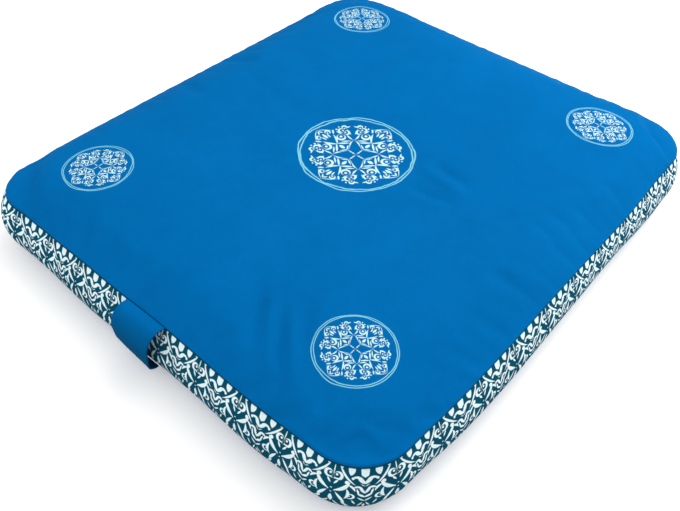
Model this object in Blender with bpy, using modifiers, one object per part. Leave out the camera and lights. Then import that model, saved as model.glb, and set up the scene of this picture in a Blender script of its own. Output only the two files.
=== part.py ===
"""Zabuton: a flat, thick floor cushion with rounded corners.

Two plain blue panels are sewn to an upright band of printed cloth, and the filling pushes the top
up behind its seams.  A wide cloth strap, sewn into the top and bottom seams, is the handle.

Metres, +Z up.  The floor is z = 0 and the origin is under the middle of the cushion.  The strap is
on the -Y side.
"""
import math

import bmesh
import bpy
from mathutils import Vector

# Outline at the seams
SIDE_X = 0.700
SIDE_Y = 0.812
CORNER_RADIUS = 0.075

# The side, from the floor up: height of each row, how far it stands out from the seams' outline,
# and whether it is a sewn edge that keeps its fold
SIDE_ROWS = (
    # height, outward, folded
    (0.0032, -0.0110, False),
    (0.0060, -0.0012, True),
    (0.0085, 0.0012, True),
    (0.0105, 0.0010, True),
    (0.0330, 0.0120, False),
    (0.0630, 0.0112, False),
    (0.0905, -0.0022, True),
    (0.0918, -0.0004, True),
    (0.0940, -0.0010, True),
)
BAND_BOTTOM_ROW = 3
BAND_TOP_ROW = 6

# The top: it rises behind the seams, and the middle has settled
TOP_RISE = 0.0340
TOP_RISE_RUN = 0.045
MIDDLE_SAG = 0.0220
SAG_REACH_X = 0.190
SAG_REACH_Y = 0.225

# Uneven filling: where the side stands out or is drawn in
SIDE_SWELLS = (
    # direction out of the side, place along it, reach, outward at the top seam, at the foot, and
    # between them
    ((0.0, -1.0), -0.240, 0.090, -0.0026, -0.0040, 0.0010),
    ((0.0, -1.0), -0.120, 0.080, -0.0036, 0.0050, 0.0000),
    ((0.0, -1.0), 0.000, 0.070, -0.0023, 0.0009, 0.0000),
    ((0.0, -1.0), 0.065, 0.090, -0.0032, -0.0009, 0.0000),
    ((0.0, -1.0), 0.190, 0.080, -0.0008, 0.0040, 0.0000),
    ((0.0, -1.0), 0.275, 0.060, -0.0034, -0.0030, 0.0000),
    ((1.0, 0.0), -0.330, 0.060, -0.0031, -0.0075, 0.0000),
    ((1.0, 0.0), -0.150, 0.120, 0.0012, 0.0048, 0.0000),
    ((1.0, 0.0), 0.150, 0.090, 0.0012, -0.0045, 0.0000),
    ((1.0, 0.0), 0.270, 0.070, -0.0023, 0.0030, 0.0000),
    ((1.0, 0.0), 0.330, 0.080, -0.0013, -0.0045, 0.0000),
    ((0.0, 1.0), -0.170, 0.080, 0.0020, 0.0010, 0.0000),
    ((0.0, 1.0), 0.060, 0.120, 0.0015, 0.0020, 0.0000),
    ((0.0, 1.0), 0.220, 0.060, 0.0015, 0.0010, 0.0000),
    ((-1.0, 0.0), -0.120, 0.120, 0.0002, 0.0020, 0.0000),
    ((-0.707, -0.707), -0.503, 0.060, -0.0030, -0.0045, 0.0085),
    ((0.707, 0.707), 0.503, 0.060, -0.0050, 0.0005, 0.0000),
    ((0.707, -0.707), -0.040, 0.060, -0.0022, -0.0022, 0.0000),
)
SWELL_REACH_INWARD = 0.070

# Where the cage is cut, from the middle to each side
CUTS_X = (0.0, 0.080, 0.165, 0.240, 0.290, 0.325)
CUTS_Y = (0.0, 0.100, 0.205, 0.290, 0.343, 0.379)

# Cloth
BAND_THICKNESS = 0.0012
STRAP_THICKNESS = 0.0024
GAP = 0.0003

# Handle strap
STRAP_WIDTH = 0.068
STRAP_CELLS_ACROSS = 4
STRAP_PATH = (
    # outward from the seams' outline, height
    (0.0010, 0.0915),
    (0.0078, 0.0940),
    (0.0163, 0.0935),
    (0.0235, 0.0885),
    (0.0282, 0.0787),
    (0.0292, 0.0655),
    (0.0264, 0.0508),
    (0.0216, 0.0370),
    (0.0157, 0.0243),
    (0.0098, 0.0150),
    (0.0048, 0.0092),
)

# Its lower end is drawn to the left, the right edge more than the left one, and there it hangs out
STRAP_PULL = 0.006
STRAP_NARROWS = 0.011
STRAP_SAG = 0.0055

BLUE_CLOTH = (0.000, 0.162, 0.479)
PRINTED_CLOTH = (0.160, 0.300, 0.390)
CLOTH_ROUGHNESS = 0.85
SHARP_ANGLE = math.radians(50)

# Two places nearer than this are the same place
SAME_PLACE = 1e-6

SEAM_HEIGHT = SIDE_ROWS[-1][0]
TOP_LEVEL = len(SIDE_ROWS) - 1


def clear_scene():
    for obj in list(bpy.data.objects):
        bpy.data.objects.remove(obj, do_unlink=True)


def make_collection(name):
    collection = bpy.data.collections.new(name)
    bpy.context.scene.collection.children.link(collection)
    return collection


def make_material(name, colour):
    material = bpy.data.materials.new(name)
    material.use_nodes = True
    shader = material.node_tree.nodes["Principled BSDF"]
    shader.inputs["Base Color"].default_value = (*colour, 1.0)
    shader.inputs["Roughness"].default_value = CLOTH_ROUGHNESS
    shader.inputs["Metallic"].default_value = 0.0
    return material


def make_object(name, bm, material, collection):
    mesh = bpy.data.meshes.new(name)
    bm.to_mesh(mesh)
    bm.free()
    mesh.materials.append(material)
    obj = bpy.data.objects.new(name, mesh)
    collection.objects.link(obj)
    return obj


def shade_smooth(obj):
    obj.data.shade_smooth()
    obj.data.set_sharp_from_angle(angle=SHARP_ANGLE)


def clamp(value, limit):
    return max(-limit, min(limit, value))


def round_corner(x, y):
    """Turn a place in the square block into a place in the outline with round corners.

    Gives the place, the direction straight out of the side there, and how deep inside the outline
    it lies.
    """
    core_x = clamp(x, SIDE_X / 2 - CORNER_RADIUS)
    core_y = clamp(y, SIDE_Y / 2 - CORNER_RADIUS)
    offset = Vector((x - core_x, y - core_y))
    reach = max(abs(offset.x), abs(offset.y))
    if reach < SAME_PLACE:
        depth = min(SIDE_X / 2 - abs(x), SIDE_Y / 2 - abs(y))
        return Vector((x, y)), Vector((0.0, 0.0)), depth
    direction = offset.normalized()
    return Vector((core_x, core_y)) + direction * reach, direction, CORNER_RADIUS - reach


def side_swell(place, direction, height):
    """How far the uneven filling pushes the side out at this place and height."""
    share_of_top = height / SEAM_HEIGHT
    swell = 0.0
    for side, along, reach, at_top, at_foot, between in SIDE_SWELLS:
        facing = max(0.0, direction.dot(Vector(side)))
        distance = place.dot(Vector((abs(side[1]), abs(side[0])))) - along
        amount = at_foot + (at_top - at_foot) * share_of_top
        amount += between * 4.0 * share_of_top * (1.0 - share_of_top)
        swell += amount * facing ** 2 * math.exp(-((distance / reach) ** 2))
    return swell


def top_height(place, depth):
    """Height of the top panel: up behind the seam, then a shallow settled middle."""
    rise = TOP_RISE * (1.0 - math.exp(-depth / TOP_RISE_RUN))
    sag = MIDDLE_SAG * math.exp(-((place.x / SAG_REACH_X) ** 2) - (place.y / SAG_REACH_Y) ** 2)
    return SEAM_HEIGHT + rise - sag * (1.0 - math.exp(-depth / TOP_RISE_RUN))


def cushion_point(x, y, level):
    """Where a corner of the cut block goes on the cushion."""
    place, direction, depth = round_corner(x, y)
    row_height, row_outward, _ = SIDE_ROWS[level]
    on_side = depth < SAME_PLACE
    height = row_height
    outward = row_outward
    if not on_side:
        height = top_height(place, depth) if level == TOP_LEVEL else 0.0
        outward = 0.0
    fade = max(0.0, 1.0 - depth / SWELL_REACH_INWARD)
    outward += side_swell(place, direction, height) * fade
    place = place + direction * outward
    return Vector((place.x, place.y, height))


def cut_block():
    """A block with one unit of height for each row of the side, cut where the cage needs lines."""
    bm = bmesh.new()
    bmesh.ops.create_cube(bm, size=1.0)
    bmesh.ops.scale(bm, vec=(SIDE_X, SIDE_Y, TOP_LEVEL), verts=bm.verts)
    bmesh.ops.translate(bm, vec=(0.0, 0.0, TOP_LEVEL / 2), verts=bm.verts)
    cuts = [(Vector((1, 0, 0)), place) for place in mirrored(CUTS_X)]
    cuts += [(Vector((0, 1, 0)), place) for place in mirrored(CUTS_Y)]
    cuts += [(Vector((0, 0, 1)), level) for level in range(1, TOP_LEVEL)]
    for normal, place in cuts:
        geometry = bm.verts[:] + bm.edges[:] + bm.faces[:]
        bmesh.ops.bisect_plane(
            bm, geom=geometry, dist=SAME_PLACE, plane_co=normal * place, plane_no=normal
        )
    return bm


def mirrored(places):
    return sorted({sign * place for place in places for sign in (-1.0, 1.0)})


def mark_band_faces(bm):
    """Mark the faces of the side that the band covers."""
    covered = bm.faces.layers.int.new("under_band")
    bm.normal_update()
    for face in bm.faces:
        level = face.calc_center_median().z
        upright = abs(face.normal.z) < 0.5
        if upright and BAND_BOTTOM_ROW < level < BAND_TOP_ROW:
            face[covered] = 1


def crease_folds(bm):
    """Keep the fold of each sewn edge through the subdivision."""
    crease = bm.edges.layers.float.new("crease_edge")
    for edge in bm.edges:
        start, end = (vertex.co for vertex in edge.verts)
        level = round(start.z)
        on_side = all(round_corner(point.x, point.y)[2] < SAME_PLACE for point in (start, end))
        if on_side and abs(start.z - end.z) < SAME_PLACE and SIDE_ROWS[level][2]:
            edge[crease] = 1.0


def make_cushion(material, collection):
    bm = cut_block()
    mark_band_faces(bm)
    crease_folds(bm)
    for vertex in bm.verts:
        vertex.co = cushion_point(vertex.co.x, vertex.co.y, round(vertex.co.z))
    cushion = make_object("cushion", bm, material, collection)
    subdivision = cushion.modifiers.new("soft form", "SUBSURF")
    subdivision.levels = 1
    subdivision.render_levels = 1
    shade_smooth(cushion)
    return cushion


def make_side_band(cushion, material, collection):
    """The printed band: the side's own faces, lifted by the gap and given the cloth's thickness."""
    bpy.context.view_layer.update()
    evaluated = cushion.evaluated_get(bpy.context.evaluated_depsgraph_get())
    bm = bmesh.new()
    bm.from_mesh(evaluated.to_mesh())
    evaluated.to_mesh_clear()
    covered = bm.faces.layers.int["under_band"]
    others = [face for face in bm.faces if face[covered] == 0]
    bmesh.ops.delete(bm, geom=others, context="FACES")
    bm.normal_update()
    for vertex in bm.verts:
        vertex.co += vertex.normal * GAP
    band = make_object("side_band", bm, material, collection)
    cloth = band.modifiers.new("cloth", "SOLIDIFY")
    cloth.thickness = BAND_THICKNESS
    cloth.offset = 1.0
    shade_smooth(band)
    return band


def make_handle_strap(material, collection):
    """A wide strap bent along its path, from the top seam out and down to the bottom seam."""
    bm = bmesh.new()
    bmesh.ops.create_grid(
        bm, x_segments=STRAP_CELLS_ACROSS, y_segments=len(STRAP_PATH) - 1, size=0.5
    )
    for vertex in bm.verts:
        row = round((vertex.co.y + 0.5) * (len(STRAP_PATH) - 1))
        outward, height = STRAP_PATH[row]
        share = row / (len(STRAP_PATH) - 1)
        place = Vector((vertex.co.x * STRAP_WIDTH, -SIDE_Y / 2))
        outward += side_swell(place, Vector((0.0, -1.0)), height)
        right = vertex.co.x + 0.5
        outward += STRAP_SAG * right * math.sin(math.pi * share ** 4)
        place.x -= (STRAP_PULL + STRAP_NARROWS * right) * share ** 2
        vertex.co = Vector((place.x, place.y - outward, height))
    bmesh.ops.recalc_face_normals(bm, faces=bm.faces)
    strap = make_object("handle_strap", bm, material, collection)
    subdivision = strap.modifiers.new("bend", "SUBSURF")
    subdivision.levels = 1
    subdivision.render_levels = 1
    cloth = strap.modifiers.new("cloth", "SOLIDIFY")
    cloth.thickness = STRAP_THICKNESS
    cloth.offset = 0.0
    shade_smooth(strap)
    return strap


def build():
    clear_scene()
    collection = make_collection("zabuton")
    blue = make_material("blue cotton", BLUE_CLOTH)
    printed = make_material("printed cotton", PRINTED_CLOTH)
    strap_blue = make_material("blue strap cotton", BLUE_CLOTH)
    cushion = make_cushion(blue, collection)
    make_side_band(cushion, printed, collection)
    make_handle_strap(strap_blue, collection)


build()
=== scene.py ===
"""Zabuton: a thick floor cushion of blue cotton, with a printed band and a strap handle.

Metres, +Z up, the cushion's underside on z = 0, the strap on the -Y side.
"""
import math

import bpy
import numpy as np
from mathutils import Matrix, Vector


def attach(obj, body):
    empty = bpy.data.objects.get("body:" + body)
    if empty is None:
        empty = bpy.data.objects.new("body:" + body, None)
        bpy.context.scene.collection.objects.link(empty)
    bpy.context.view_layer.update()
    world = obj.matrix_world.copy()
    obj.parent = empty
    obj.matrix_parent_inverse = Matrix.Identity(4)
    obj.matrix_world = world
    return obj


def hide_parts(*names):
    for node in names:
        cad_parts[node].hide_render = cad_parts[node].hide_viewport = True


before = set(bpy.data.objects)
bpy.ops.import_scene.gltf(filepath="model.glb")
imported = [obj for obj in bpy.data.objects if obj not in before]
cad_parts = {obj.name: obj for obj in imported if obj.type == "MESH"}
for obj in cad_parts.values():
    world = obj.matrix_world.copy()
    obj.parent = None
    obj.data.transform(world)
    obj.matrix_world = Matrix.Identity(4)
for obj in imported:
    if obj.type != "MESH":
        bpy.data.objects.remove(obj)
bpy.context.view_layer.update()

MM = 1000.0
SAME_PLACE = 1e-6

# Camera, fitted to the seams, the outline and the roundels
CAMERA_TARGET = Vector((0.0430, -0.1501, 0.0300))
CAMERA_DISTANCE = 1.0778
CAMERA_AZIMUTH = math.radians(40.92)
CAMERA_ELEVATION = math.radians(45.81)
CAMERA_ROLL = math.radians(1.65)
LENS_MM = 40.19
SENSOR_MM = 36.0
CAMERA_SHIFT = (0.0427, 0.0039)

# Outline at the seams, the same as the solid's
SIDE_X = 0.700
SIDE_Y = 0.812
CORNER_RADIUS = 0.075
# Half the straight part of each side
STRAIGHT_X = SIDE_X / 2 - CORNER_RADIUS
STRAIGHT_Y = SIDE_Y / 2 - CORNER_RADIUS
SEAM_HEIGHT = 0.0940
TOP_RISE = 0.0340
TOP_RISE_RUN = 0.045
MIDDLE_SAG = 0.0220
SAG_REACH_X = 0.190
SAG_REACH_Y = 0.225
SWELL_REACH_INWARD = 0.070
# How far in from its edge the underside meets the floor
UNDERSIDE_ROUNDING = 0.020

# Where the uneven filling pushes the side out or lets it in
SIDE_SWELLS = (
    # direction out of the side, place along it, reach, outward at the top seam, at the foot, and
    # between them
    ((0.0, -1.0), -0.240, 0.090, -0.0026, -0.0040, 0.0010),
    ((0.0, -1.0), -0.120, 0.080, -0.0036, 0.0050, 0.0000),
    ((0.0, -1.0), 0.000, 0.070, -0.0023, 0.0009, 0.0000),
    ((0.0, -1.0), 0.065, 0.090, -0.0032, -0.0009, 0.0000),
    ((0.0, -1.0), 0.190, 0.080, -0.0008, 0.0040, 0.0000),
    ((0.0, -1.0), 0.275, 0.060, -0.0034, -0.0030, 0.0000),
    ((1.0, 0.0), -0.330, 0.060, -0.0031, -0.0075, 0.0000),
    ((1.0, 0.0), -0.150, 0.120, 0.0012, 0.0048, 0.0000),
    ((1.0, 0.0), 0.150, 0.090, 0.0012, -0.0045, 0.0000),
    ((1.0, 0.0), 0.270, 0.070, -0.0023, 0.0030, 0.0000),
    ((1.0, 0.0), 0.330, 0.080, -0.0013, -0.0045, 0.0000),
    ((0.0, 1.0), -0.170, 0.080, 0.0020, 0.0010, 0.0000),
    ((0.0, 1.0), 0.060, 0.120, 0.0015, 0.0020, 0.0000),
    ((0.0, 1.0), 0.220, 0.060, 0.0015, 0.0010, 0.0000),
    ((-1.0, 0.0), -0.120, 0.120, 0.0002, 0.0020, 0.0000),
    ((-0.707, -0.707), -0.503, 0.060, -0.0030, -0.0055, 0.0070),
    ((-0.707, -0.707), -0.503, 0.022, 0.0055, 0.0000, 0.0000),
    ((-1.0, 0.0), -0.335, 0.040, -0.0045, 0.0000, 0.0000),
    ((0.707, 0.707), 0.503, 0.060, -0.0035, -0.0020, 0.0000),
    ((0.707, -0.707), -0.040, 0.060, -0.0022, -0.0022, 0.0000),
)

# The side under the band, from the bottom seam to the top seam: height, outward
BAND_CURVE = ((0.0105, 0.0010), (0.0330, 0.0120), (0.0630, 0.0112), (0.0905, -0.0022))
# The rolled edges of the two panels: height, outward
FOOT_ROWS = ((0.0018, -0.0118), (0.0034, -0.0056), (0.0056, -0.0014), (0.0078, 0.0008), (0.0097, 0.0010))
LIP_ROWS = ((0.0911, -0.0022), (0.0917, -0.0009), (0.0926, -0.0001), (0.0934, -0.0003), (0.0940, -0.0010))
BAND_ROWS_ON_COVER = 8

# Cells of the cover, finer behind the seams
CELLS_X = 84
CELLS_Y = 98
EDGE_CELLS = (0.0, 0.0028, 0.0068)
# Points closer than this are made one, in cells of the block and in metres of the band
MERGE_BLOCK = 0.001
MERGE_BAND = 0.00005

# Filling: the top starts lower, is blown up by the pressure, and no point moves past the cap
START_LOWER = 0.0055
START_LOWER_RUN = 0.030
PRESSURE = 4.0
CLOTH_EASE = -0.018
CLOTH_STEPS = 6
BLOW_FRAMES = 20
MOVE_CAP = 0.0058

# The cloth gathered along the top seam: waves round the outline, height, phase
SEAM_WAVES = ((61, 0.30, 0.4), (97, 0.42, 2.1), (139, 0.34, 4.4), (173, 0.22, 1.3))
# How the waves gather into groups: groups round the outline, phase, and how strongly
SEAM_WAVE_GROUPS = ((7, 0.5), (11, 2.7))
GROUP_STRENGTH = 0.35
PUCKER_HEIGHT = 0.0004
PUCKER_RUN = 0.012
PUCKER_OUTWARD = 0.0002

# Soft wrinkles of the top panel
WRINKLES = (
    # start, end, half width, height
    ((0.085, 0.036), (0.180, 0.014), 0.010, 0.0036),
    ((0.094, 0.056), (0.168, 0.038), 0.008, -0.0032),
    ((0.092, -0.012), (0.180, -0.008), 0.009, -0.0034),
    ((0.241, -0.005), (0.243, 0.040), 0.010, -0.0020),
    ((0.076, -0.280), (0.155, -0.376), 0.012, -0.0062),
    ((0.100, -0.280), (0.182, -0.376), 0.010, 0.0044),
    ((0.122, -0.294), (0.205, -0.382), 0.009, -0.0058),
    ((0.144, -0.290), (0.215, -0.376), 0.010, 0.0050),
    ((0.146, -0.262), (0.192, -0.338), 0.009, -0.0052),
    ((0.238, -0.332), (0.256, -0.378), 0.009, -0.0030),
    ((-0.255, 0.024), (-0.125, 0.012), 0.014, -0.0026),
    ((-0.300, 0.120), (-0.250, 0.020), 0.012, 0.0018),
    ((-0.060, 0.300), (0.060, 0.330), 0.014, 0.0014),
)
# The share of its length where a wrinkle starts and ends, and how bluntly it fades there
WRINKLE_ENDS = (0.02, 0.98)
WRINKLE_TAPER = 0.7

# Band of printed cloth
BAND_CLEARANCE = 0.0003
BAND_THICKNESS = 0.0012
BAND_CELLS_ROUND = 420
BAND_CELLS_HIGH = 16

# Strap handle: outward from the seams' outline, height
STRAP_PATH = (
    (0.0010, 0.0921),
    (0.0040, 0.0935),
    (0.0095, 0.0943),
    (0.0165, 0.0934),
    (0.0235, 0.0885),
    (0.0282, 0.0787),
    (0.0292, 0.0655),
    (0.0264, 0.0508),
    (0.0216, 0.0370),
    (0.0157, 0.0243),
    (0.0098, 0.0150),
    (0.0048, 0.0092),
)
# Its lower end is drawn to the left, the right edge more than the left one, and there it hangs out
STRAP_PULL = 0.006
STRAP_NARROWS = 0.011
STRAP_SAG = 0.0055
STRAP_WIDTH = 0.068
STRAP_THICKNESS = 0.0022
STRAP_CELLS_ACROSS = 34
STRAP_CELLS_LONG = 60
# Its uneven surface: a roll across it, and ripples along and across it
STRAP_ROLL = 0.0009
STRAP_ROLL_TURNS = 2.2
STRAP_ROLL_PHASE = 0.5
STRAP_RIPPLE = 0.0005
STRAP_RIPPLES_LONG = 15.0
STRAP_RIPPLES_ACROSS = 90.0
# Its stitching, in millimetres
STITCH_FROM_EDGE = 4.0
STITCH_WIDTH = 0.5
STITCH_LENGTH = 3.2
# The thread lies on the cloth where its sine is above this, and covers this share of it
STITCH_DIPS_AT = -0.5
THREAD_COVER = 0.7
# Where its painted shade begins down the strap, and over what length it darkens, in millimetres
STRAP_SHADE_FROM = 12.0
STRAP_SHADE_OVER = 42.0

# Print on the band: where its buds come
BUD_PLACES = (
    # metres round the outline from the middle of the handle side, repeats
    (0.0000, 0.05),
    (0.0307, 0.50),
    (0.0992, 1.50),
    (0.1677, 2.50),
    (0.2362, 3.50),
    (0.3300, 4.93),
    (0.4412, 6.50),
    (0.5175, 7.50),
    (0.5889, 8.50),
    (0.6653, 9.50),
    (2.6219, 36.50),
    (2.6960, 37.50),
    (2.7607, 38.50),
    (2.8320, 39.50),
    (2.8955, 40.40),
)
REPEAT_MM = 70.0
# The print starts this much above where its drawing counts from
PRINT_ABOVE_SEAM = 0.0065
# Millimetres of the band's top edge that the seam draws in, left without print as a painted shade line
SEAM_SHADE_BARE_EDGE = 1.6
# Millimetres taken off each edge of a stroke
STROKES_THINNER = 0.27
# Softness of the ink's edge, in millimetres
BAND_INK_EDGE = 0.5
ROUNDEL_INK_EDGE = 0.9
# Where the dust and painted shade begin below the top seam, and over what height they thicken, in
# millimetres
DUST_AND_SHADE_FROM = 40.0
DUST_AND_SHADE_OVER = 45.0

BLUE = (0.0001, 0.118, 0.350)
BAND_BLUE = (0.0022, 0.0680, 0.1150)
PRINT_WHITE = (0.800, 0.965, 0.990)
ROUNDEL_WHITE = (0.580, 0.820, 0.760)
RING_BLUE = (0.220, 0.560, 0.640)
# Painted shade of the strap's lower part, which faces away from the light
STRAP_SHADE_BLUE = (0.0001, 0.070, 0.180)
THREAD_BLUE = (0.0060, 0.155, 0.400)
# Dust on the band near the floor, together with painted shade of its lower part
FLOOR_DUST_AND_SHADE = (0.760, 0.730, 0.700)
SHEEN_TINT = (0.02, 0.45, 0.80, 1.0)
SHEEN = 0.04
SHEEN_ROUGHNESS = 0.5
SPECULAR = 0.01

# Relief of the cloth, in metres
CRUMPLE_HEIGHT = 0.0005
THREAD_HEIGHT = 0.00012
THREAD_STRENGTH = 0.35
# Slubs run long along one thread and short across it
SLUB_STRETCH = (0.05, 1.3)
SLUB_TINT = 0.16
# Painted shade between the threads: how much darker the cloth is where they dip
THREAD_SHADE = 0.10
# Unevenness of the cloth, for a place in millimetres: scale, detail, roughness
BROAD_SHADE = (0.011, 2.0)
RUBBED_PATCHES = (0.045, 3.0, 0.6)
FLECKS = (0.16, 3.0, 0.6)
CRUMPLES = (0.030, 3.0, 0.45)
# Ink on the cloth, in the same way
RAGGED_EDGE = (1.1, 1.0)
WORN_INK = (0.35, 3.0, 0.6)

# The floor looks white and throws less light back than it would at that brightness
FLOOR_SIZE = 12.0
FLOOR_SEEN = (0.93, 0.93, 0.93)
FLOOR_BOUNCE = (0.70, 0.70, 0.70)
FLOOR_GLOW = 0.20

WORLD_LIGHT = 0.90
LIGHTS_AIM = (0.0, 0.0, 0.05)
LIGHTS = (
    # name, place, size, power
    ("soft light from the back right", (0.62, 1.05, 1.05), 0.9, 11.0),
    ("soft light from above", (-0.1, 0.9, 2.2), 1.6, 13.0),
    ("weak light from the front left", (-0.9, -1.9, 0.8), 1.4, 6.0),
)


# Modelling helpers


def clear_selection():
    if bpy.context.object is not None and bpy.context.object.mode != "OBJECT":
        bpy.ops.object.mode_set(mode="OBJECT")
    bpy.ops.object.select_all(action="DESELECT")


def work_on(piece):
    clear_selection()
    bpy.context.view_layer.objects.active = piece
    piece.select_set(True)


def points_of(piece):
    flat = np.empty(len(piece.data.vertices) * 3)
    piece.data.vertices.foreach_get("co", flat)
    return flat.reshape(-1, 3)


def move_points(piece, points):
    piece.data.vertices.foreach_set("co", points.ravel())
    piece.data.update()


def apply_modifier(piece, name):
    work_on(piece)
    bpy.ops.object.modifier_apply(modifier=name)


def start_grid(name, across, along):
    """A flat square of even cells, one metre a side."""
    clear_selection()
    bpy.ops.mesh.primitive_grid_add(x_subdivisions=across, y_subdivisions=along, size=1.0)
    piece = bpy.context.object
    piece.name = name
    piece.data.name = name
    return piece


def grid_rows(points, rows):
    """Which row of such a square each point is in."""
    return np.rint((points[:, 1] + 0.5) * rows).astype(int)


def thicken(piece, thickness, offset):
    cloth = piece.modifiers.new("cloth", "SOLIDIFY")
    cloth.thickness = thickness
    cloth.offset = offset
    apply_modifier(piece, "cloth")
    piece.data.shade_smooth()


def soften(points, times):
    """Round a broken line: new points between the old ones, and the old ones drawn in."""
    line = np.array(points)
    for _ in range(times):
        between = (line[:-1] + line[1:]) / 2
        inner = (line[1:-1] * 6 + line[:-2] + line[2:]) / 8
        finer = np.empty((len(line) * 2 - 1, line.shape[1]))
        finer[1::2] = between
        finer[2:-1:2] = inner
        finer[0] = line[0]
        finer[-1] = line[-1]
        line = finer
    return line


def spread_evenly(line, count):
    """The same line in `count` equal steps."""
    steps = np.linalg.norm(np.diff(line, axis=0), axis=1)
    travelled = np.concatenate(([0.0], np.cumsum(steps)))
    wanted = np.linspace(0.0, travelled[-1], count + 1)
    columns = [np.interp(wanted, travelled, line[:, column]) for column in range(line.shape[1])]
    return np.stack(columns, axis=1), wanted


# Form of the cushion


def round_corner(x, y):
    """Square block to the outline with round corners: place, direction outward, depth inside."""
    core_x = np.clip(x, -STRAIGHT_X, STRAIGHT_X)
    core_y = np.clip(y, -STRAIGHT_Y, STRAIGHT_Y)
    offset = np.stack((x - core_x, y - core_y), axis=1)
    reach = np.abs(offset).max(axis=1)
    length = np.linalg.norm(offset, axis=1)
    direction = offset / np.maximum(length, SAME_PLACE)[:, None]
    place = np.stack((core_x, core_y), axis=1) + direction * reach[:, None]
    inside = np.minimum(SIDE_X / 2 - np.abs(x), SIDE_Y / 2 - np.abs(y))
    depth = np.where(reach < SAME_PLACE, inside, CORNER_RADIUS - reach)
    return place, direction, depth


def nearest_on_outline(points):
    """For points of the finished form: direction outward, depth inside, metres round the outline."""
    core_x = np.clip(points[:, 0], -STRAIGHT_X, STRAIGHT_X)
    core_y = np.clip(points[:, 1], -STRAIGHT_Y, STRAIGHT_Y)
    offset = np.stack((points[:, 0] - core_x, points[:, 1] - core_y), axis=1)
    length = np.linalg.norm(offset, axis=1)
    direction = offset / np.maximum(length, SAME_PLACE)[:, None]
    turn = np.mod(np.arctan2(direction[:, 0], -direction[:, 1]), 2 * math.pi)
    quarter = np.minimum(np.floor(turn / (math.pi / 2) + 1e-4), 4)
    lengths = np.select(
        [quarter == 0, quarter == 1, quarter == 2, quarter == 3, quarter == 4],
        [
            core_x,
            STRAIGHT_X + STRAIGHT_Y + core_y,
            STRAIGHT_X * 2 + STRAIGHT_Y * 2 - core_x,
            STRAIGHT_X * 3 + STRAIGHT_Y * 3 - core_y,
            STRAIGHT_X * 4 + STRAIGHT_Y * 4 + core_x,
        ],
    )
    return direction, CORNER_RADIUS - length, lengths + turn * CORNER_RADIUS


def outline_length():
    straight = (SIDE_X - 2 * CORNER_RADIUS + SIDE_Y - 2 * CORNER_RADIUS) * 2
    return straight + 2 * math.pi * CORNER_RADIUS


def outline_point(along):
    """Place and direction outward, at these metres round the outline from the -Y side's middle."""
    arc = CORNER_RADIUS * math.pi / 2
    side_x = STRAIGHT_X * 2
    side_y = STRAIGHT_Y * 2
    legs = (STRAIGHT_X, arc, side_y, arc, side_x, arc, side_y, arc, STRAIGHT_X)
    marks = np.concatenate(([0.0], np.cumsum(legs)))
    core = np.array(
        (
            (0.0, -STRAIGHT_Y),
            (STRAIGHT_X, -STRAIGHT_Y),
            (STRAIGHT_X, -STRAIGHT_Y),
            (STRAIGHT_X, STRAIGHT_Y),
            (STRAIGHT_X, STRAIGHT_Y),
            (-STRAIGHT_X, STRAIGHT_Y),
            (-STRAIGHT_X, STRAIGHT_Y),
            (-STRAIGHT_X, -STRAIGHT_Y),
            (-STRAIGHT_X, -STRAIGHT_Y),
            (0.0, -STRAIGHT_Y),
        )
    )
    turns = np.array((0, 0, 1, 1, 2, 2, 3, 3, 4, 4)) * math.pi / 2
    core_x = np.interp(along, marks, core[:, 0])
    core_y = np.interp(along, marks, core[:, 1])
    turn = np.interp(along, marks, turns)
    direction = np.stack((np.sin(turn), -np.cos(turn)), axis=1)
    return np.stack((core_x, core_y), axis=1) + direction * CORNER_RADIUS, direction


def side_swell(place, direction, height):
    """How far the uneven filling pushes the side out at this place and height."""
    share_of_top = height / SEAM_HEIGHT
    swell = np.zeros(len(place))
    for side, along, reach, at_top, at_foot, between in SIDE_SWELLS:
        facing = np.maximum(0.0, direction @ np.array(side))
        distance = place @ np.array((abs(side[1]), abs(side[0]))) - along
        amount = at_foot + (at_top - at_foot) * share_of_top
        amount = amount + between * 4.0 * share_of_top * (1.0 - share_of_top)
        swell += amount * facing**2 * np.exp(-((distance / reach) ** 2))
    return swell


def top_height(place, depth):
    """Height of the top panel: up behind the seam, then a shallow settled middle."""
    grown = 1.0 - np.exp(-np.maximum(depth, 0.0) / TOP_RISE_RUN)
    reach_x = (place[:, 0] / SAG_REACH_X) ** 2
    reach_y = (place[:, 1] / SAG_REACH_Y) ** 2
    return SEAM_HEIGHT + (TOP_RISE - MIDDLE_SAG * np.exp(-reach_x - reach_y)) * grown


def seam_wave(along):
    """The small uneven waves of cloth eased into the seam, between about -1 and 1."""
    turn = along / outline_length() * 2 * math.pi
    wave = sum(high * np.sin(turn * count + phase) for count, high, phase in SEAM_WAVES)
    group = sum(GROUP_STRENGTH * np.sin(turn * count + phase) for count, phase in SEAM_WAVE_GROUPS)
    return wave * (1.0 + group)


def cover_rows():
    """Rows of the side from the foot up: height, outward."""
    band, _ = spread_evenly(soften(BAND_CURVE, 3), BAND_ROWS_ON_COVER)
    return [*FOOT_ROWS, *map(tuple, band), *LIP_ROWS]


def cell_places(half, cells):
    """Where the cover is divided along one side: narrow cells at both seams, even ones between."""
    even = np.linspace(EDGE_CELLS[-1] - half, half - EDGE_CELLS[-1], cells - 3)
    edge = np.array(EDGE_CELLS[:-1])
    return np.concatenate((edge - half, even, (half - edge)[::-1]))


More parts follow.
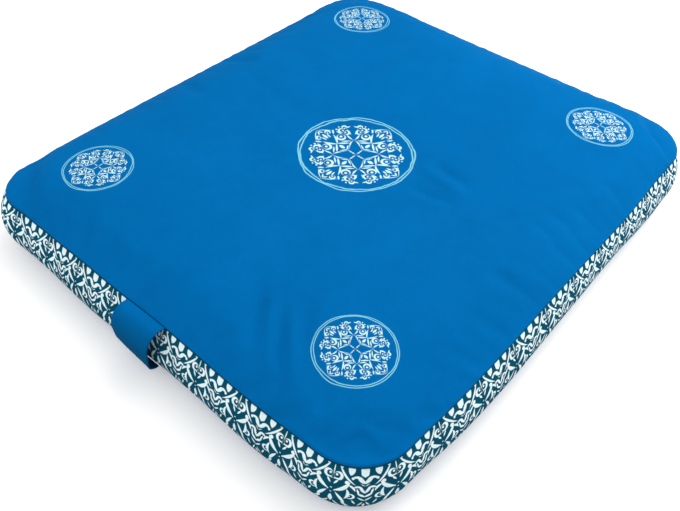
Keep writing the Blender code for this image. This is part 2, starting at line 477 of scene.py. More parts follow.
def place_cover_points(points, rows):
    """Lay the divided block out as the cushion, with its top lowered ready for the filling."""
    x = np.interp(points[:, 0], np.linspace(-0.5, 0.5, CELLS_X + 1), cell_places(SIDE_X / 2, CELLS_X))
    y = np.interp(points[:, 1], np.linspace(-0.5, 0.5, CELLS_Y + 1), cell_places(SIDE_Y / 2, CELLS_Y))
    level = np.rint(points[:, 2]).astype(int)
    place, direction, depth = round_corner(x, y)
    on_side = depth < SAME_PLACE
    top_level = len(rows) - 1
    row_heights = np.array([row[0] for row in rows])
    row_outward = np.array([row[1] for row in rows])
    height = row_heights[level]
    lowered = START_LOWER * (1.0 - np.exp(-depth / START_LOWER_RUN))
    on_top = ~on_side & (level == top_level)
    height = np.where(on_top, top_height(place, depth) - lowered, height)
    under = rows[0][0] * np.clip(1.0 - depth / UNDERSIDE_ROUNDING, 0.0, 1.0) ** 2
    height = np.where(~on_side & (level == 0), under, height)
    fade = np.maximum(0.0, 1.0 - depth / SWELL_REACH_INWARD)
    outward = np.where(on_side, row_outward[level], np.where(level == 0, row_outward[0] * fade**2, 0.0))
    outward = outward + side_swell(place, direction, height) * fade
    place = place + direction * outward[:, None]
    return np.column_stack((place, height)), on_top


# Pieces


def start_cover(rows):
    """A closed block of even cells: the top, its edge drawn down row by row, and the underside."""
    cover = start_grid("cushion_cover", CELLS_X, CELLS_Y)
    top_level = len(rows) - 1
    bpy.ops.object.mode_set(mode="EDIT")
    bpy.ops.transform.translate(value=(0.0, 0.0, top_level))
    bpy.ops.mesh.duplicate_move(TRANSFORM_OT_translate={"value": (0.0, 0.0, -top_level)})
    bpy.ops.mesh.flip_normals()
    bpy.ops.mesh.select_all(action="DESELECT")
    bpy.ops.mesh.select_mode(type="EDGE")
    bpy.ops.object.mode_set(mode="OBJECT")
    select_top_border(cover, top_level)
    bpy.ops.object.mode_set(mode="EDIT")
    for _ in range(top_level):
        bpy.ops.mesh.extrude_edges_move(TRANSFORM_OT_translate={"value": (0.0, 0.0, -1.0)})
    bpy.ops.mesh.select_all(action="SELECT")
    bpy.ops.mesh.remove_doubles(threshold=MERGE_BLOCK)
    bpy.ops.mesh.normals_make_consistent(inside=False)
    bpy.ops.object.mode_set(mode="OBJECT")
    return cover


def select_top_border(cover, top_level):
    points = points_of(cover)
    high = points[:, 2] > top_level - 0.5
    edge_x = np.abs(np.abs(points[:, 0]) - 0.5) < SAME_PLACE
    edge_y = np.abs(np.abs(points[:, 1]) - 0.5) < SAME_PLACE
    for edge in cover.data.edges:
        start, end = edge.vertices
        along_y = edge_x[start] and edge_x[end] and points[start, 0] == points[end, 0]
        along_x = edge_y[start] and edge_y[end] and points[start, 1] == points[end, 1]
        edge.select = bool(high[start] and high[end] and (along_x or along_y))


def fill_cover(cover, on_top):
    """Blow the top panel up between its seams, as the filling does."""
    before = points_of(cover)
    sewn = cover.vertex_groups.new(name="sewn")
    sewn.add([int(index) for index in np.flatnonzero(~on_top)], 1.0, "REPLACE")
    cloth = cover.modifiers.new("filling", "CLOTH")
    cloth.settings.vertex_group_mass = "sewn"
    cloth.settings.use_pressure = True
    cloth.settings.uniform_pressure_force = PRESSURE
    cloth.settings.effector_weights.gravity = 0.0
    cloth.settings.shrink_min = CLOTH_EASE
    cloth.settings.quality = CLOTH_STEPS
    cloth.point_cache.frame_start = 1
    cloth.point_cache.frame_end = BLOW_FRAMES
    for number in range(1, BLOW_FRAMES + 1):
        bpy.context.scene.frame_set(number)
    apply_modifier(cover, "filling")
    bpy.context.scene.frame_set(1)
    moved = points_of(cover) - before
    length = np.linalg.norm(moved, axis=1)
    print("filling moved the cloth by", round(float(length.max()) * MM, 2), "mm at most")
    kept = np.minimum(1.0, MOVE_CAP / np.maximum(length, SAME_PLACE))
    move_points(cover, before + moved * kept[:, None])
    cover.vertex_groups.clear()


def gather_seam(points):
    """Small puckers along the top seam, fading into the panel."""
    direction, depth, along = nearest_on_outline(points)
    wave = seam_wave(along)
    high = points[:, 2] > LIP_ROWS[0][0]
    fade = np.exp(-np.maximum(depth, 0.0) / PUCKER_RUN) * (depth < CORNER_RADIUS - SAME_PLACE)
    at_lip = np.clip((points[:, 2] - LIP_ROWS[0][0]) / (SEAM_HEIGHT - LIP_ROWS[0][0]), 0.0, 1.0)
    amount = np.where(high, wave * fade * at_lip, 0.0)
    points[:, 2] += amount * PUCKER_HEIGHT
    points[:, :2] += direction * (amount * PUCKER_OUTWARD)[:, None]
    return points


def lay_wrinkles(points):
    """Low soft wrinkles of the top panel."""
    on_top = points[:, 2] > SEAM_HEIGHT
    for start, end, half_width, height in WRINKLES:
        start = np.array(start)
        line = np.array(end) - start
        share = np.clip(((points[:, :2] - start) @ line) / (line @ line), 0.0, 1.0)
        distance = np.linalg.norm(points[:, :2] - start - share[:, None] * line, axis=1)
        taper = np.sin(np.pi * np.clip(share, *WRINKLE_ENDS)) ** WRINKLE_TAPER
        points[:, 2] += on_top * height * taper * np.exp(-((distance / half_width) ** 2))
    return points


def make_cover():
    rows = cover_rows()
    cover = start_cover(rows)
    placed, on_top = place_cover_points(points_of(cover), rows)
    move_points(cover, placed)
    fill_cover(cover, on_top)
    finer = cover.modifiers.new("soft form", "SUBSURF")
    finer.levels = 1
    finer.render_levels = 1
    apply_modifier(cover, "soft form")
    points = lay_wrinkles(gather_seam(points_of(cover)))
    points[:, 2] = np.maximum(points[:, 2], 0.0)
    move_points(cover, points)
    cover.data.shade_smooth()
    return cover


def make_band():
    """A strip bent round the side, closed under the handle, with the thickness of its cloth."""
    band = start_grid("printed_band", BAND_CELLS_ROUND, BAND_CELLS_HIGH)
    flat = points_of(band)
    curve, down = spread_evenly(soften(BAND_CURVE, 4), BAND_CELLS_HIGH)
    along = (flat[:, 0] + 0.5) * outline_length()
    row = grid_rows(flat, BAND_CELLS_HIGH)
    place, direction = outline_point(along)
    height = curve[row, 0]
    outward = curve[row, 1] + BAND_CLEARANCE + side_swell(place, direction, height)
    place = place + direction * outward[:, None]
    repeats = np.interp(along, *np.array(BUD_PLACES).T)
    from_top = down[-1] - down[row] - PRINT_ABOVE_SEAM
    map_print(band, repeats, from_top)
    move_points(band, np.column_stack((place, height)))
    bpy.ops.object.mode_set(mode="EDIT")
    bpy.ops.mesh.select_all(action="SELECT")
    bpy.ops.mesh.remove_doubles(threshold=MERGE_BAND)
    bpy.ops.object.mode_set(mode="OBJECT")
    thicken(band, BAND_THICKNESS, 1.0)
    return band


def map_print(piece, across, down):
    """The piece's UV map, in the units that its print is drawn in."""
    layer = piece.data.uv_layers.active or piece.data.uv_layers.new(name="print")
    layer.name = "print"
    corners = np.empty(len(piece.data.loops), dtype=int)
    piece.data.loops.foreach_get("vertex_index", corners)
    uv = np.column_stack((across[corners], down[corners]))
    layer.data.foreach_set("uv", uv.ravel())


def make_strap():
    """The handle: a folded strip, bent along its path."""
    strap = start_grid("handle_cover", STRAP_CELLS_ACROSS, STRAP_CELLS_LONG)
    flat = points_of(strap)
    path, down = spread_evenly(soften(STRAP_PATH, 3), STRAP_CELLS_LONG)
    row = grid_rows(flat, STRAP_CELLS_LONG)
    across = flat[:, 0] * STRAP_WIDTH
    share = down[row] / down[-1]
    along_side = np.column_stack((across, np.full(len(flat), -SIDE_Y / 2)))
    facing = np.tile((0.0, -1.0), (len(flat), 1))
    outward = path[row, 0] + side_swell(along_side, facing, path[row, 1])
    middle_of_strap = np.sin(math.pi * np.clip(share, 0.0, 1.0))
    roll = np.cos(across / STRAP_WIDTH * math.pi * STRAP_ROLL_TURNS + STRAP_ROLL_PHASE)
    ripple = np.sin(share * STRAP_RIPPLES_LONG + across * STRAP_RIPPLES_ACROSS)
    outward += middle_of_strap * STRAP_ROLL * roll
    outward += middle_of_strap * STRAP_RIPPLE * ripple
    map_print(strap, across, down[row])
    right = flat[:, 0] + 0.5
    across = across - (STRAP_PULL + STRAP_NARROWS * right) * share**2
    outward = outward + STRAP_SAG * right * np.sin(np.pi * share**4)
    move_points(strap, np.column_stack((across, -SIDE_Y / 2 - outward, path[row, 1])))
    strap.data.flip_normals()
    thicken(strap, STRAP_THICKNESS, 0.0)
    return strap


# Shader helpers


def feed(tree, socket, value):
    if isinstance(value, bpy.types.NodeSocket):
        tree.links.new(value, socket)
    elif value is not None:
        socket.default_value = value


def calc(tree, operation, *values, clamp=False):
    node = tree.nodes.new("ShaderNodeMath")
    node.operation = operation
    node.use_clamp = clamp
    for index, value in enumerate(values):
        feed(tree, node.inputs[index], value)
    return node.outputs[0]


def vector_calc(tree, operation, *values, scale=None):
    node = tree.nodes.new("ShaderNodeVectorMath")
    node.operation = operation
    for index, value in enumerate(values):
        feed(tree, node.inputs[index], value)
    if scale is not None:
        feed(tree, node.inputs["Scale"], scale)
    single = operation in {"DISTANCE", "LENGTH", "DOT_PRODUCT"}
    return node.outputs["Value"] if single else node.outputs["Vector"]


def split(tree, vector):
    node = tree.nodes.new("ShaderNodeSeparateXYZ")
    feed(tree, node.inputs[0], vector)
    return node.outputs


def join(tree, across, down):
    node = tree.nodes.new("ShaderNodeCombineXYZ")
    feed(tree, node.inputs[0], across)
    feed(tree, node.inputs[1], down)
    return node.outputs[0]


def mix_colour(tree, share, first, second, blend="MIX"):
    node = tree.nodes.new("ShaderNodeMix")
    node.data_type = "RGBA"
    node.blend_type = blend
    feed(tree, node.inputs[0], share)
    feed(tree, node.inputs[6], first)
    feed(tree, node.inputs[7], second)
    return node.outputs[2]


def noise(tree, vector, scale, detail=2.0, roughness=0.5):
    node = tree.nodes.new("ShaderNodeTexNoise")
    feed(tree, node.inputs["Vector"], vector)
    node.inputs["Scale"].default_value = scale
    node.inputs["Detail"].default_value = detail
    node.inputs["Roughness"].default_value = roughness
    return node.outputs["Fac"]


def new_group(name, inputs, outputs):
    """A node group with named sockets: (name, type, default) for each input, (name, type) out."""
    group = bpy.data.node_groups.new(name, "ShaderNodeTree")
    for socket_name, kind, value in inputs:
        socket = group.interface.new_socket(name=socket_name, in_out="INPUT", socket_type=kind)
        if value is not None:
            socket.default_value = value
    for socket_name, kind in outputs:
        group.interface.new_socket(name=socket_name, in_out="OUTPUT", socket_type=kind)
    start = group.nodes.new("NodeGroupInput")
    end = group.nodes.new("NodeGroupOutput")
    return group, start.outputs, end.inputs


def use_group(tree, group, **values):
    node = tree.nodes.new("ShaderNodeGroup")
    node.node_tree = group
    for name, value in values.items():
        feed(tree, node.inputs[name.replace("_", " ")], value)
    return node.outputs


# Cloth effects that the materials share


def weave_group():
    """Plain weave: threads over and under, slubs, and painted shade between threads. Place is in
    millimetres on the cloth.
    """
    group, given, out = new_group(
        "plain weave",
        (
            ("Place", "NodeSocketVector", None),
            ("Thread spacing", "NodeSocketFloat", 0.55),
            ("Slubs", "NodeSocketFloat", 0.5),
        ),
        (("Height", "NodeSocketFloat"), ("Tint", "NodeSocketFloat")),
    )
    parts = split(group, given["Place"])
    turn = calc(group, "DIVIDE", math.pi, given["Thread spacing"])
    waves = [calc(group, "SINE", calc(group, "MULTIPLY", part, turn)) for part in (parts[0], parts[1])]
    warp, weft = (calc(group, "ABSOLUTE", wave) for wave in waves)
    over = calc(group, "MULTIPLY_ADD", calc(group, "MULTIPLY", *waves), 2.5, 0.5, clamp=True)
    threads = calc(group, "MULTIPLY_ADD", over, calc(group, "SUBTRACT", warp, weft), weft)
    long, short = SLUB_STRETCH
    long_x = vector_calc(group, "MULTIPLY", given["Place"], (long, short, long))
    long_y = vector_calc(group, "MULTIPLY", given["Place"], (short, long, long))
    slub_x = noise(group, long_x, 1.0, 2.0)
    slub_y = noise(group, long_y, 1.0, 2.0)
    slubs = calc(group, "SUBTRACT", calc(group, "ADD", slub_x, slub_y), 1.0)
    slubs = calc(group, "MULTIPLY", slubs, given["Slubs"])
    group.links.new(calc(group, "MULTIPLY_ADD", threads, 0.5, slubs), out["Height"])
    # Painted shade: darker where the threads dip, lighter on their crowns
    thread_shade = calc(group, "MULTIPLY_ADD", calc(group, "SUBTRACT", threads, 0.6), THREAD_SHADE, 1.0)
    group.links.new(calc(group, "MULTIPLY_ADD", slubs, SLUB_TINT, thread_shade), out["Tint"])
    return group


def wear_group():
    """Washed and handled cloth: broad uneven shade, faint rubbed patches, and crumple."""
    group, given, out = new_group(
        "handled cloth",
        (
            ("Place", "NodeSocketVector", None),
            ("Unevenness", "NodeSocketFloat", 0.21),
            ("Crumple", "NodeSocketFloat", 1.0),
        ),
        (
            ("Shade", "NodeSocketFloat"),
            ("Roughness", "NodeSocketFloat"),
            ("Height", "NodeSocketFloat"),
        ),
    )
    broad = noise(group, given["Place"], *BROAD_SHADE)
    patches = noise(group, given["Place"], *RUBBED_PATCHES)
    flecks = noise(group, given["Place"], *FLECKS)
    both = calc(group, "MULTIPLY_ADD", patches, 0.5, broad)
    all_three = calc(group, "MULTIPLY_ADD", flecks, 0.4, both)
    uneven = calc(group, "SUBTRACT", all_three, 0.95)
    shade = calc(group, "MULTIPLY_ADD", uneven, given["Unevenness"], 1.0)
    group.links.new(shade, out["Shade"])
    group.links.new(calc(group, "MULTIPLY_ADD", patches, 0.12, 0.78), out["Roughness"])
    crumple = noise(group, given["Place"], *CRUMPLES)
    group.links.new(calc(group, "MULTIPLY", crumple, given["Crumple"]), out["Height"])
    return group


def print_edge_group():
    """Ink on cloth: from how far outside the printed shape, to how much ink, a little worn."""
    group, given, out = new_group(
        "printed ink",
        (
            ("Distance", "NodeSocketFloat", None),
            ("Place", "NodeSocketVector", None),
            ("Softness", "NodeSocketFloat", 0.35),
        ),
        (("Ink", "NodeSocketFloat"),),
    )
    rough_edge = noise(group, given["Place"], *RAGGED_EDGE)
    ragged = calc(group, "SUBTRACT", rough_edge, 0.5)
    distance = calc(group, "MULTIPLY_ADD", ragged, 0.5, given["Distance"])
    inside = calc(group, "SUBTRACT", 0.5, calc(group, "DIVIDE", distance, given["Softness"]), clamp=True)
    worn = noise(group, given["Place"], *WORN_INK)
    cover = calc(group, "MULTIPLY_ADD", worn, 0.16, 0.86, clamp=True)
    group.links.new(calc(group, "MULTIPLY", inside, cover), out["Ink"])
    return group


# Drawing of the prints, in millimetres. Each shape gives how far a point lies outside it.


def arc_through(start, end, belly):
    """Centre and radius of the circle through two tips that stands `belly` off the line between.

    Going from one tip to the other, a belly to the right is positive.
    """
    start = Vector(start)
    end = Vector(end)
    line = end - start
    half = line.length / 2
    left = Vector((-line.y, line.x)).normalized()
    belly = math.copysign(max(abs(belly), 0.02), belly)
    radius = (half**2 + belly**2) / (2 * abs(belly))
    centre = (start + end) / 2 + left * math.copysign(abs(belly) - radius, belly)
    return centre, radius


def petal(tree, point, start, end, right, left):
    """A shape between two arcs that meet at its tips: a leaf, a thin stroke or a crescent."""
    sides = []
    for belly, keeps_inside in ((right, right > 0), (left, left <= 0)):
        centre, radius = arc_through(start, end, belly)
        away = vector_calc(tree, "DISTANCE", point, (centre.x, centre.y, 0.0))
        pair = (away, radius) if keeps_inside else (radius, away)
        sides.append(calc(tree, "SUBTRACT", *pair))
    return calc(tree, "MAXIMUM", *sides)


def moon(tree, point, centre, radius, hollow, hollow_radius):
    """A disc with a smaller disc taken out of it."""
    outer = vector_calc(tree, "DISTANCE", point, (*centre, 0.0))
    inner = vector_calc(tree, "DISTANCE", point, (*hollow, 0.0))
    outside = calc(tree, "SUBTRACT", outer, radius)
    in_hollow = calc(tree, "SUBTRACT", hollow_radius, inner)
    return calc(tree, "MAXIMUM", outside, in_hollow)


def dot(tree, point, centre, radius):
    return calc(tree, "SUBTRACT", vector_calc(tree, "DISTANCE", point, (*centre, 0.0)), radius)


def draw(tree, point, petals, moons, dots):
    shapes = [petal(tree, point, *row) for row in petals]
    shapes += [moon(tree, point, *row) for row in moons]
    shapes += [dot(tree, point, *row) for row in dots]
    nearest = shapes[0]
    for shape in shapes[1:]:
        nearest = calc(tree, "MINIMUM", nearest, shape)
    return nearest


def downwards(petals, moons, dots):
    """The same tables with their second measure running down the cloth."""
    def down(place):
        return (place[0], -place[1])

    petals = [(down(start), down(end), right, left) for start, end, right, left in petals]
    moons = [(down(centre), radius, down(hollow), size) for centre, radius, hollow, size in moons]
    dots = [(down(centre), radius) for centre, radius in dots]
    return petals, moons, dots


# Half a repeat of the band: across from the bud's middle (0) to the scrolls' middle (35), and down
# from the top seam. The other half mirrors it.
BAND_PETALS = (
    # tip, tip, the edge furthest right on the way from one to the other, and the one furthest left
    ((17.4, -11.0), (16.0, 4.4), 6.0, -2.6),
    ((15.0, 8.4), (1.0, 10.8), 5.6, 2.0),
    ((8.6, 4.8), (-1.4, 14.6), 2.3, -2.5),
    ((30.4, -9.6), (8.4, 17.0), -1.2, -4.3),
    ((0.0, -12.0), (0.0, 6.2), 4.8, -4.8),
    ((5.0, 13.6), (-0.6, 17.8), 0.7, -0.7),
    ((12.6, 21.4), (1.6, 21.8), 4.8, 1.6),
    ((6.2, 16.6), (-0.8, 28.8), 1.6, -2.0),
    ((8.4, 20.4), (5.6, 30.4), 1.4, -1.3),
    ((8.0, 27.4), (-1.0, 34.8), 1.7, -1.9),
    ((7.6, 34.6), (-0.8, 42.6), 1.2, -1.3),
    ((18.6, 16.6), (9.6, 25.8), 3.6, 0.4),
    ((15.6, 12.0), (33.0, 28.8), 5.4, 0.1),
    ((35.0, -8.0), (35.0, 8.5), 0.9, -0.9),
    ((26.2, 11.2), (35.6, 12.6), 0.6, -1.4),
    ((28.4, 12.2), (33.4, 19.6), 1.4, -1.4),
    ((19.6, 21.8), (21.4, 40.2), 5.4, 1.4),
    ((31.0, 30.4), (19.6, 52.2), 3.3, -0.9),
    ((23.8, 45.6), (13.0, 64.0), 0.6, -3.4),
    ((12.8, 40.6), (8.6, 51.5), 1.3, -1.3),
    ((1.4, 44.0), (7.0, 59.5), 1.3, -1.1),
    ((35.0, 36.0), (35.0, 53.0), 2.6, -2.6),
    ((32.4, 49.0), (24.0, 66.0), 0.6, -2.4),
    ((12.8, 69.4), (2.6, 67.6), -1.8, -5.2),
    ((5.6, 65.0), (-0.6, 77.0), 1.3, -1.3),
    ((19.8, 59.0), (16.8, 78.0), 2.6, -0.6),
    ((0.0, 49.0), (0.0, 62.5), 1.7, -1.7),
    ((21.8, 71.0), (28.6, 81.0), 1.4, -1.6),
)
BAND_MOONS = (
    # centre, radius, centre of the hollow, its radius
    ((29.0, 7.4), 5.6, (30.8, 7.4), 3.3),
    ((14.4, 34.2), 5.0, (15.6, 34.2), 3.1),
    ((29.2, 68.4), 5.0, (30.7, 68.4), 3.2),
)
BAND_DOTS = (
    # centre, radius
    ((0.0, 0.7), 4.5),
    ((13.0, 7.6), 1.9),
    ((26.4, -4.8), 1.4),
    ((19.2, 13.8), 2.6),
    ((31.2, 6.4), 1.7),
    ((34.6, 25.6), 0.9),
    ((31.4, 28.9), 1.0),
    ((34.8, 32.2), 0.9),
    ((15.6, 33.6), 1.2),
    ((31.2, 68.0), 1.6),
)

# An eighth of a roundel: out along the middle of a side's cluster, and off it towards the corner
ROUNDEL_PETALS = (
    ((1.5, 0.0), (17.0, 0.0), 0.7, -0.7),
    ((15.8, 1.0), (27.0, 26.6), 2.0, 0.9),
    ((17.6, -0.8), (24.6, 10.2), 1.4, -0.8),
    ((21.0, 9.6), (27.2, 20.6), 1.3, -1.0),
    ((22.8, 0.0), (34.4, 0.0), 2.8, -2.8),
    ((26.0, 15.6), (39.6, 0.6), 1.7, -1.6),
    ((28.4, 21.0), (38.2, 9.4), 1.6, -1.0),
    ((38.4, -0.4), (58.4, 12.6), -0.2, -3.4),
    ((28.2, 25.4), (42.6, 28.2), 2.4, -0.4),
    ((38.2, 33.4), (50.8, 38.4), 1.8, -1.2),
    ((59.0, 41.2), (52.4, 48.4), -0.4, -3.0),
    ((50.0, 24.4), (60.6, 22.8), 1.7, -1.3),
    ((57.4, 0.0), (71.2, 0.0), 2.3, -2.3),
    ((56.6, 4.8), (66.2, 6.4), 1.6, -1.0),
    ((83.4, -0.3), (66.2, 19.0), 2.2, 0.8),
    ((59.4, 14.4), (66.8, 21.4), 1.6, -1.4),
    ((73.0, 4.6), (80.2, 0.2), 1.4, -1.0),
)
ROUNDEL_MOONS = (
    ((45.0, 16.8), 7.6, (46.4, 18.3), 5.6),
    ((46.0, 32.4), 5.4, (47.6, 31.4), 4.0),
    ((56.4, 29.6), 5.2, (54.8, 30.8), 3.9),
    ((58.0, 39.6), 4.6, (56.6, 38.4), 3.3),
    ((68.8, 10.4), 5.0, (67.4, 9.0), 3.7),
)
ROUNDEL_DOTS = (
    ((6.0, 0.0), 1.3),
    ((11.0, 0.0), 1.3),
    ((46.4, 18.0), 2.3),
    ((48.4, 30.8), 1.5),
    ((54.0, 31.8), 1.5),
    ((55.8, 37.6), 1.3),
    ((67.0, 8.6), 1.5),
    ((63.4, 26.4), 1.6),
    ((64.4, 33.6), 1.4),
)
# Where the roundels are, in millimetres, and how large
MIDDLE_ROUNDEL_PLACE = (-2.8, -2.4)
MIDDLE_ROUNDEL = 87.6
CORNER_ROUNDEL = 50.1
CORNER_ROUNDEL_PLACE = (234.2, 290.6)
# The size that its rings are given for, and how much the clusters are drawn in from them
ROUNDEL_SIZE = MIDDLE_ROUNDEL
ORNAMENT_SCALE = 1.06
# The printed cloth goes this much past a roundel: a share of it, and millimetres at the corners
ROUNDEL_REACH = 1.06
CORNER_ROUNDEL_ROOM = 2.0
# The middle one is drawn within this many times its size
MIDDLE_ROUNDEL_SHARE = 1.5
# The two lines of a ring: how far out, and how quickly each wavers
RING_LINES = ((0.985, 0.030), (0.943, 0.036))
RING_LINE_WIDTH = 0.023
RING_WOBBLE = 8.0


def start_material(name):
    material = bpy.data.materials.new(name)
    material.use_nodes = True
    tree = material.node_tree
    shader = tree.nodes["Principled BSDF"]
    shader.inputs["Metallic"].default_value = 0.0
    shader.inputs["Specular IOR Level"].default_value = SPECULAR
    shader.inputs["Sheen Weight"].default_value = SHEEN
    shader.inputs["Sheen Roughness"].default_value = SHEEN_ROUGHNESS
    shader.inputs["Sheen Tint"].default_value = SHEEN_TINT
    return material, tree, shader


def object_place(tree):
    """Place on the piece, in millimetres."""
    coordinates = tree.nodes.new("ShaderNodeTexCoord")
    return vector_calc(tree, "SCALE", coordinates.outputs["Object"], scale=MM)


def print_place(tree):
    """Place on the piece's UV map."""
    coordinates = tree.nodes.new("ShaderNodeUVMap")
    coordinates.uv_map = "print"
    return coordinates.outputs[0]


def finish_cloth(tree, shader, colour, place, weave, wear, pressed=None):
    """Weave, shade and crumple over a colour. Stitches press the cloth in where they run."""
    threads = use_group(tree, weave, Place=place)
    worn = use_group(tree, wear, Place=place)
    # The weave's tint carries painted shade between the threads as well as slub tone
    shade = calc(tree, "MULTIPLY", threads["Tint"], worn["Shade"])
    grey = tree.nodes.new("ShaderNodeCombineColor")
    for socket in grey.inputs:
        tree.links.new(shade, socket)
    shaded = mix_colour(tree, 1.0, colour, grey.outputs[0], "MULTIPLY")
    tree.links.new(shaded, shader.inputs["Base Color"])
    tree.links.new(worn["Roughness"], shader.inputs["Roughness"])
    crumple = tree.nodes.new("ShaderNodeBump")
    crumple.inputs["Strength"].default_value = 1.0
    crumple.inputs["Distance"].default_value = CRUMPLE_HEIGHT
    height = worn["Height"]
    if pressed is not None:
        height = calc(tree, "SUBTRACT", height, pressed)
    tree.links.new(height, crumple.inputs["Height"])
    fine = tree.nodes.new("ShaderNodeBump")
    fine.inputs["Strength"].default_value = THREAD_STRENGTH
    fine.inputs["Distance"].default_value = THREAD_HEIGHT
    tree.links.new(threads["Height"], fine.inputs["Height"])
    tree.links.new(crumple.outputs[0], fine.inputs["Normal"])
    tree.links.new(fine.outputs[0], shader.inputs["Normal"])


def opaque(colour):
    return (*colour, 1.0)


def blue_cotton(name, weave, wear):
    material, tree, shader = start_material(name)
    finish_cloth(tree, shader, opaque(BLUE), object_place(tree), weave, wear)
    return material


def strap_cotton(name, weave, wear):
    """The folded strip: stitched near its long edges, and painted darker lower down as shade."""
    material, tree, shader = start_material(name)
    place = vector_calc(tree, "SCALE", print_place(tree), scale=MM)
    parts = split(tree, place)
    from_edge = calc(tree, "SUBTRACT", STRAP_WIDTH / 2 * MM, calc(tree, "ABSOLUTE", parts[0]))
    off_line = calc(tree, "ABSOLUTE", calc(tree, "SUBTRACT", from_edge, STITCH_FROM_EDGE))
    on_line = calc(tree, "SUBTRACT", 1.0, calc(tree, "DIVIDE", off_line, STITCH_WIDTH), clamp=True)
    steps = calc(tree, "SINE", calc(tree, "MULTIPLY", parts[1], 2 * math.pi / STITCH_LENGTH))
    thread = calc(tree, "MULTIPLY", on_line, calc(tree, "GREATER_THAN", steps, STITCH_DIPS_AT))
    # Painted shade: the strap darkens lower down, where it faces the floor
    below = calc(tree, "SUBTRACT", parts[1], STRAP_SHADE_FROM)
    handled = calc(tree, "DIVIDE", below, STRAP_SHADE_OVER, clamp=True)
    colour = mix_colour(tree, handled, opaque(BLUE), opaque(STRAP_SHADE_BLUE))
    covered = calc(tree, "MULTIPLY", thread, THREAD_COVER)
    colour = mix_colour(tree, covered, colour, opaque(THREAD_BLUE))
    finish_cloth(tree, shader, colour, place, weave, wear, on_line)
    return material


def roundel_cotton(name, weave, wear, ink):
    """Blue cotton with the five roundels printed on it."""
    material, tree, shader = start_material(name)
    place = object_place(tree)
    flat = vector_calc(tree, "MULTIPLY", place, (1.0, 1.0, 0.0))
    from_middle = vector_calc(tree, "SUBTRACT", flat, (*MIDDLE_ROUNDEL_PLACE, 0.0))
    mirrored = vector_calc(tree, "ABSOLUTE", flat)
    corner = vector_calc(tree, "SUBTRACT", mirrored, (*CORNER_ROUNDEL_PLACE, 0.0))
    distance = vector_calc(tree, "LENGTH", from_middle)
    in_middle = calc(tree, "LESS_THAN", distance, MIDDLE_ROUNDEL * MIDDLE_ROUNDEL_SHARE)
    from_corner = vector_calc(tree, "SCALE", corner, scale=ROUNDEL_SIZE / CORNER_ROUNDEL)
    chosen = tree.nodes.new("ShaderNodeMix")
    chosen.data_type = "VECTOR"
    tree.links.new(in_middle, chosen.inputs[0])
    tree.links.new(from_corner, chosen.inputs[4])
    tree.links.new(from_middle, chosen.inputs[5])
    parts = split(tree, vector_calc(tree, "ABSOLUTE", chosen.outputs[1]))
    both = (parts[0], parts[1])
    eighth = join(tree, calc(tree, "MAXIMUM", *both), calc(tree, "MINIMUM", *both))
    drawn = vector_calc(tree, "SCALE", eighth, scale=ORNAMENT_SCALE)
    ornament = draw(tree, drawn, ROUNDEL_PETALS, ROUNDEL_MOONS, ROUNDEL_DOTS)
    inked = use_group(tree, ink, Distance=ornament, Place=place, Softness=ROUNDEL_INK_EDGE)
    away = vector_calc(tree, "LENGTH", chosen.outputs[1])
    rings = []
    for share, wobble_scale in RING_LINES:
        wobble = calc(tree, "SUBTRACT", noise(tree, place, wobble_scale, 2.0), 0.5)
        wobbling = calc(tree, "MULTIPLY_ADD", wobble, RING_WOBBLE, away)
        off_line = calc(tree, "ABSOLUTE", calc(tree, "SUBTRACT", wobbling, ROUNDEL_SIZE * share))
        rings.append(calc(tree, "SUBTRACT", off_line, ROUNDEL_SIZE * RING_LINE_WIDTH / 2))
    both_rings = calc(tree, "MINIMUM", *rings)
    ring = use_group(tree, ink, Distance=both_rings, Place=place, Softness=ROUNDEL_INK_EDGE)
    colour = mix_colour(tree, ring["Ink"], opaque(BLUE), opaque(RING_BLUE))
    colour = mix_colour(tree, inked["Ink"], colour, opaque(ROUNDEL_WHITE))
    finish_cloth(tree, shader, colour, place, weave, wear)
    return material


def band_cotton(name, weave, wear, ink):
    """Dark blue cotton with white scrolls, which repeat round the band."""
    material, tree, shader = start_material(name)
    mapped = print_place(tree)
    parts = split(tree, mapped)
    half_repeat = calc(tree, "PINGPONG", parts[0], 0.5)
    across = calc(tree, "MULTIPLY", half_repeat, REPEAT_MM)
    down = calc(tree, "MULTIPLY", parts[1], -MM)
    place = vector_calc(tree, "MULTIPLY", mapped, (REPEAT_MM, MM, 0.0))
    ornament = draw(tree, join(tree, across, down), *downwards(BAND_PETALS, BAND_MOONS, BAND_DOTS))
    from_seam = calc(tree, "MULTIPLY_ADD", parts[1], MM, PRINT_ABOVE_SEAM * MM)
    ornament = calc(tree, "ADD", ornament, STROKES_THINNER)
    # Painted shade: no print on a thin strip along the top seam, so a dark line shows there
    ornament = calc(tree, "MAXIMUM", ornament, calc(tree, "SUBTRACT", SEAM_SHADE_BARE_EDGE, from_seam))
    inked = use_group(tree, ink, Distance=ornament, Place=place, Softness=BAND_INK_EDGE)
    colour = mix_colour(tree, inked["Ink"], opaque(BAND_BLUE), opaque(PRINT_WHITE))
    # Dust and painted shade: the band darker towards the floor
    below = calc(tree, "SUBTRACT", from_seam, DUST_AND_SHADE_FROM)
    dust_and_shade = calc(tree, "DIVIDE", below, DUST_AND_SHADE_OVER, clamp=True)
    colour = mix_colour(tree, dust_and_shade, colour, opaque(FLOOR_DUST_AND_SHADE), "MULTIPLY")
    finish_cloth(tree, shader, colour, place, weave, wear)
    return material


def near_roundel(points):
    """Which points lie inside the square round a roundel, on the top panel."""
    flat = np.abs(points[:, :2]) * MM
    middle = (flat < MIDDLE_ROUNDEL * ROUNDEL_REACH).all(axis=1)
    offset = np.abs(flat - np.array(CORNER_ROUNDEL_PLACE))
    corner = (offset < CORNER_ROUNDEL * ROUNDEL_REACH + CORNER_ROUNDEL_ROOM).all(axis=1)
    return (middle | corner) & (points[:, 2] > SEAM_HEIGHT)


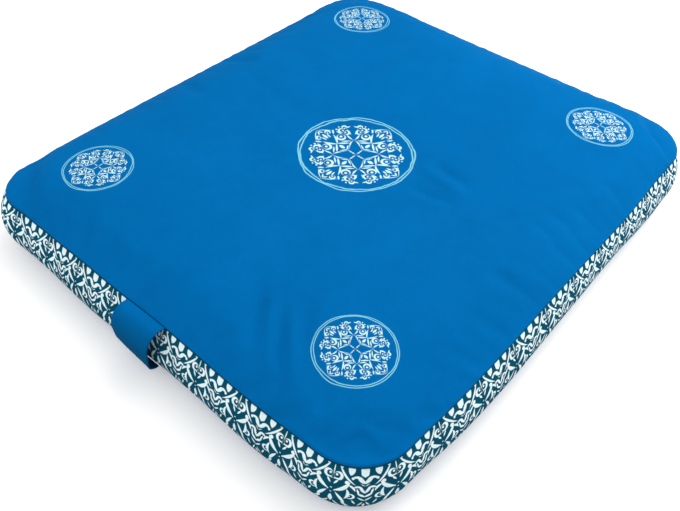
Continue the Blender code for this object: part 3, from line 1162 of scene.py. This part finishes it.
def dress_cover(cover, plain, printed):
    cover.data.materials.clear()
    cover.data.materials.append(plain)
    cover.data.materials.append(printed)
    centres = np.empty(len(cover.data.polygons) * 3)
    cover.data.polygons.foreach_get("center", centres)
    printed_here = near_roundel(centres.reshape(-1, 3))
    cover.data.polygons.foreach_set("material_index", printed_here.astype(np.int32))


def dress(piece, material):
    piece.data.materials.clear()
    piece.data.materials.append(material)


# Scene


def place_camera():
    flat = math.cos(CAMERA_ELEVATION)
    away_x = math.sin(CAMERA_AZIMUTH) * flat
    away_y = -math.cos(CAMERA_AZIMUTH) * flat
    away = Vector((away_x, away_y, math.sin(CAMERA_ELEVATION)))
    right = Vector((math.cos(CAMERA_AZIMUTH), math.sin(CAMERA_AZIMUTH), 0.0))
    up = away.cross(right)
    tilted_right = right * math.cos(CAMERA_ROLL) + up * math.sin(CAMERA_ROLL)
    tilted_up = up * math.cos(CAMERA_ROLL) - right * math.sin(CAMERA_ROLL)
    data = bpy.data.cameras.new("camera")
    data.lens = LENS_MM
    data.sensor_width = SENSOR_MM
    data.sensor_fit = "HORIZONTAL"
    data.shift_x, data.shift_y = CAMERA_SHIFT
    camera = bpy.data.objects.new("camera", data)
    bpy.context.scene.collection.objects.link(camera)
    turned = Matrix((tilted_right, tilted_up, away)).transposed().to_4x4()
    camera.matrix_world = Matrix.Translation(CAMERA_TARGET + away * CAMERA_DISTANCE) @ turned
    bpy.context.scene.camera = camera


def add_light(name, place, size, power):
    data = bpy.data.lights.new(name, "AREA")
    data.shape = "DISK"
    data.size = size
    data.energy = power
    light = bpy.data.objects.new(name, data)
    bpy.context.scene.collection.objects.link(light)
    light.location = place
    towards = Vector(LIGHTS_AIM) - Vector(place)
    light.rotation_euler = towards.to_track_quat("-Z", "Y").to_euler()


def light_studio():
    world = bpy.data.worlds.new("studio")
    world.use_nodes = True
    background = world.node_tree.nodes["Background"]
    background.inputs["Color"].default_value = (1.0, 1.0, 1.0, 1.0)
    background.inputs["Strength"].default_value = WORLD_LIGHT
    bpy.context.scene.world = world
    for light in LIGHTS:
        add_light(*light)
    bpy.context.scene.view_settings.view_transform = "Standard"


def make_floor():
    clear_selection()
    bpy.ops.mesh.primitive_plane_add(size=FLOOR_SIZE, location=(0.0, 0.0, 0.0))
    floor = bpy.context.object
    floor.name = "studio_floor"
    bpy.ops.object.transform_apply(location=True, rotation=True, scale=True)
    material = bpy.data.materials.new("white studio floor")
    material.use_nodes = True
    tree = material.node_tree
    shader = tree.nodes["Principled BSDF"]
    shader.inputs["Roughness"].default_value = 0.9
    shader.inputs["Emission Color"].default_value = (1.0, 1.0, 1.0, 1.0)
    seen = tree.nodes.new("ShaderNodeLightPath").outputs["Is Camera Ray"]
    colour = mix_colour(tree, seen, opaque(FLOOR_BOUNCE), opaque(FLOOR_SEEN))
    tree.links.new(colour, shader.inputs["Base Color"])
    glow = calc(tree, "MULTIPLY", seen, FLOOR_GLOW)
    tree.links.new(glow, shader.inputs["Emission Strength"])
    dress(floor, material)


def build():
    place_camera()
    light_studio()
    make_floor()
    cover = make_cover()
    band = make_band()
    strap = make_strap()
    weave = weave_group()
    wear = wear_group()
    ink = print_edge_group()
    plain = blue_cotton("plain blue cotton", weave, wear)
    dress_cover(cover, plain, roundel_cotton("roundel print cotton", weave, wear, ink))
    dress(band, band_cotton("scroll print cotton", weave, wear, ink))
    dress(strap, strap_cotton("folded strap cotton", weave, wear))
    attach(cover, "root")
    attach(band, "root")
    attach(strap, "root")
    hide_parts("cushion")
    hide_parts("side_band")
    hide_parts("handle_strap")


build()
